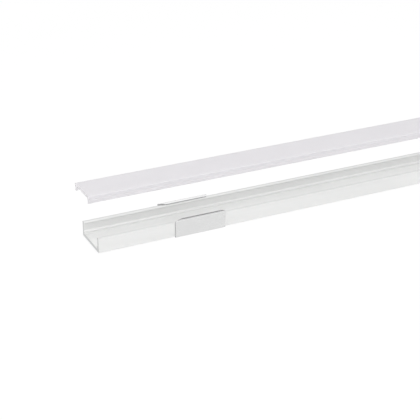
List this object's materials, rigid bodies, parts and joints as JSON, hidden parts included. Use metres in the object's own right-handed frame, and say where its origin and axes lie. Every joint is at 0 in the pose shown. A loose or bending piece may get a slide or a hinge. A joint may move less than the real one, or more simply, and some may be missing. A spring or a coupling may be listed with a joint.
{
  "type": "led strip aluminium profile",
  "caption": "Surface-mounted aluminium channel for LED strip, open at both ends, with an opal snap-in cover lifted off above it and folded steel spring clips that screw to a surface.",
  "frame": {"origin": "on the mounting surface under the clips, midway between the two screw holes", "axes": "+X along the profile towards the end that the picture cuts off, +Y across it towards the far wall, +Z away from the mounting surface, out of the channel's open side"},
  "size_m": [0.3027, 0.0184, 0.0246],
  "materials": {
    "anodised_aluminium": "fine satin anodised",
    "opal_plastic": "milky, smooth and slightly translucent",
    "spring_steel": "bright rolled sheet with cut edges"
  },
  "bodies": {
    "profile": {"channel": "anodised_aluminium"},
    "cover": {"diffuser_cover": "opal_plastic"},
    "clip_left": {"mounting_clip_left": "spring_steel"},
    "clip_right": {"mounting_clip_right": "spring_steel"}
  },
  "joints": [
    {"name": "cover_lift", "type": "slide", "parent": "profile", "child": "cover", "axis": [-0.1582, 0, 0.9874], "range_m": [-0.01732, 0.01]},
    {"name": "clip_left_slide", "type": "slide", "parent": "profile", "child": "clip_left", "axis": [1, 0, 0], "range_m": [-0.03, 0.09]},
    {"name": "clip_right_slide", "type": "slide", "parent": "profile", "child": "clip_right", "axis": [-1, 0, 0], "range_m": [-0.03, 0.09]}
  ]
}
